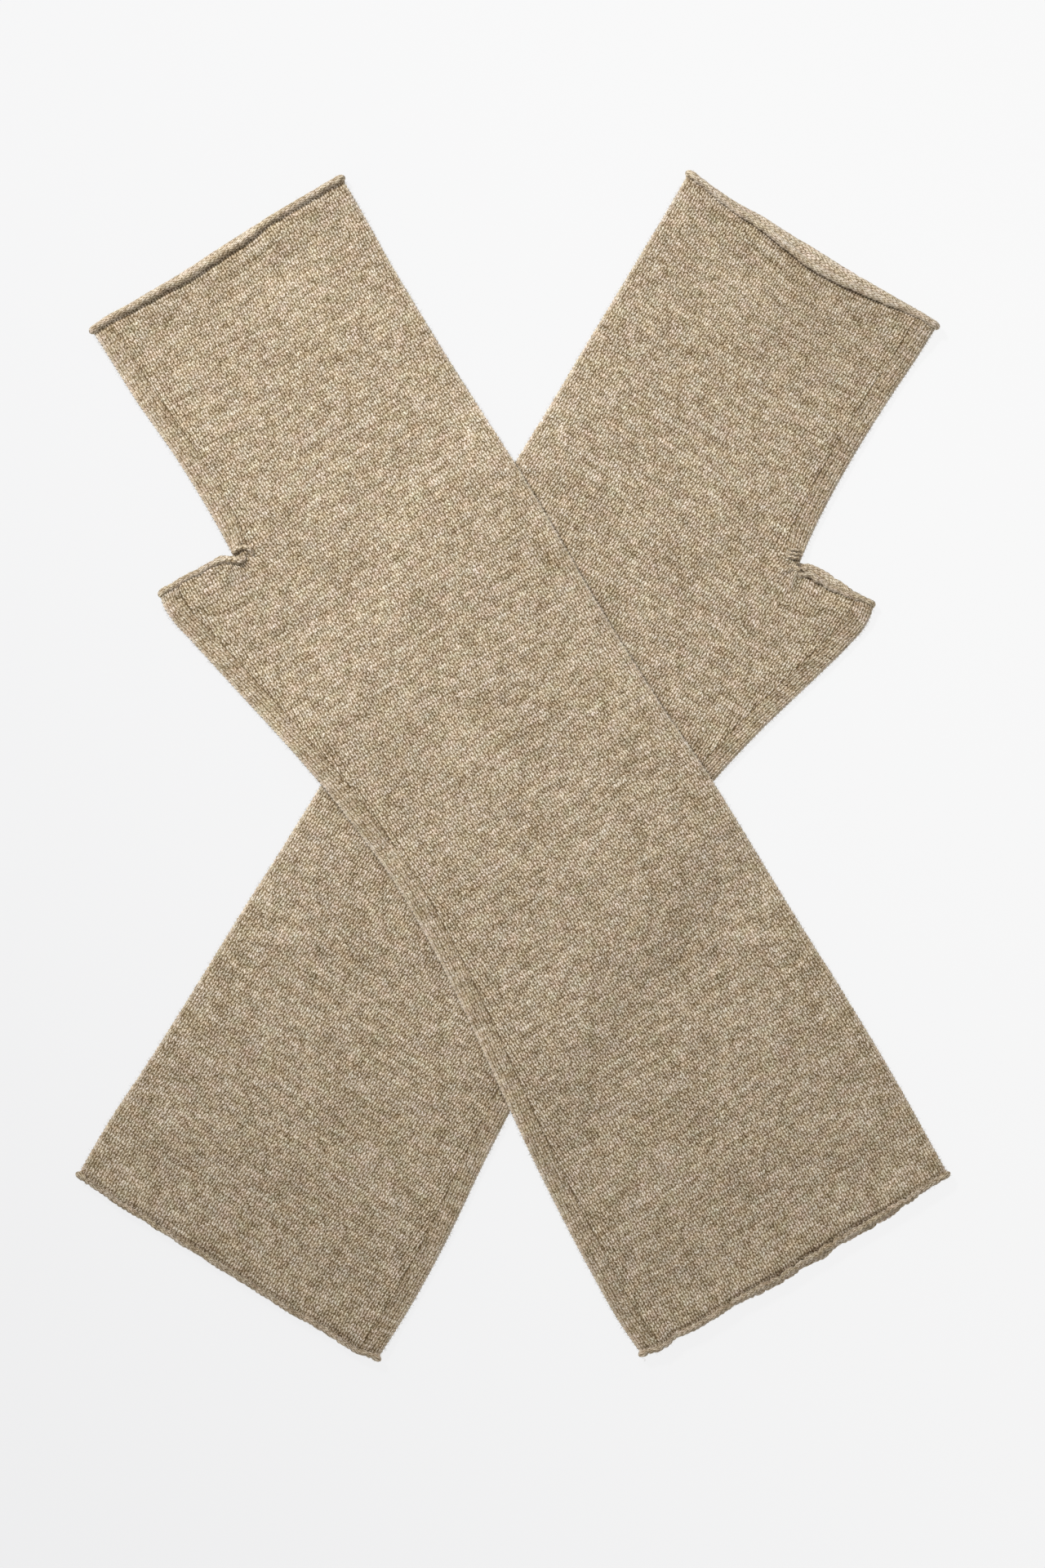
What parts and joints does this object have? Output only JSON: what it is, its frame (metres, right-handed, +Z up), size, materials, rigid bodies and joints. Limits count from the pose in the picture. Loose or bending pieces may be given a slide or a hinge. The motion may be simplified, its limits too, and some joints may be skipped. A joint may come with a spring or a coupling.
{
  "type": "pair of open-fingered mittens",
  "caption": "Knitted open-fingered mittens lying flat and crossed, each a flattened tube with a short thumb stub and curled raw edges, to warm hand and forearm.",
  "frame": {"origin": "on the surface the mittens lie on, under the middle of the crossed pair", "axes": "+Y towards the hand ends, along the pair's longest extent; +X towards the lower mitten's hand end; +Z up from the surface"},
  "size_m": [0.2669, 0.3647, 0.0063],
  "materials": {
    "knit": "matt heathered beige and brown wool, plain knit",
    "curled_edge": "matt heathered beige and brown wool, purl side outward"
  },
  "bodies": {
    "root": {"upper_panel": "knit", "upper_hand_curl": "curled_edge", "upper_arm_curl": "curled_edge", "upper_thumb_curl": "curled_edge", "lower_panel": "knit", "lower_hand_curl": "curled_edge", "lower_arm_curl": "curled_edge", "lower_thumb_curl": "curled_edge"}
  },
  "joints": []
}
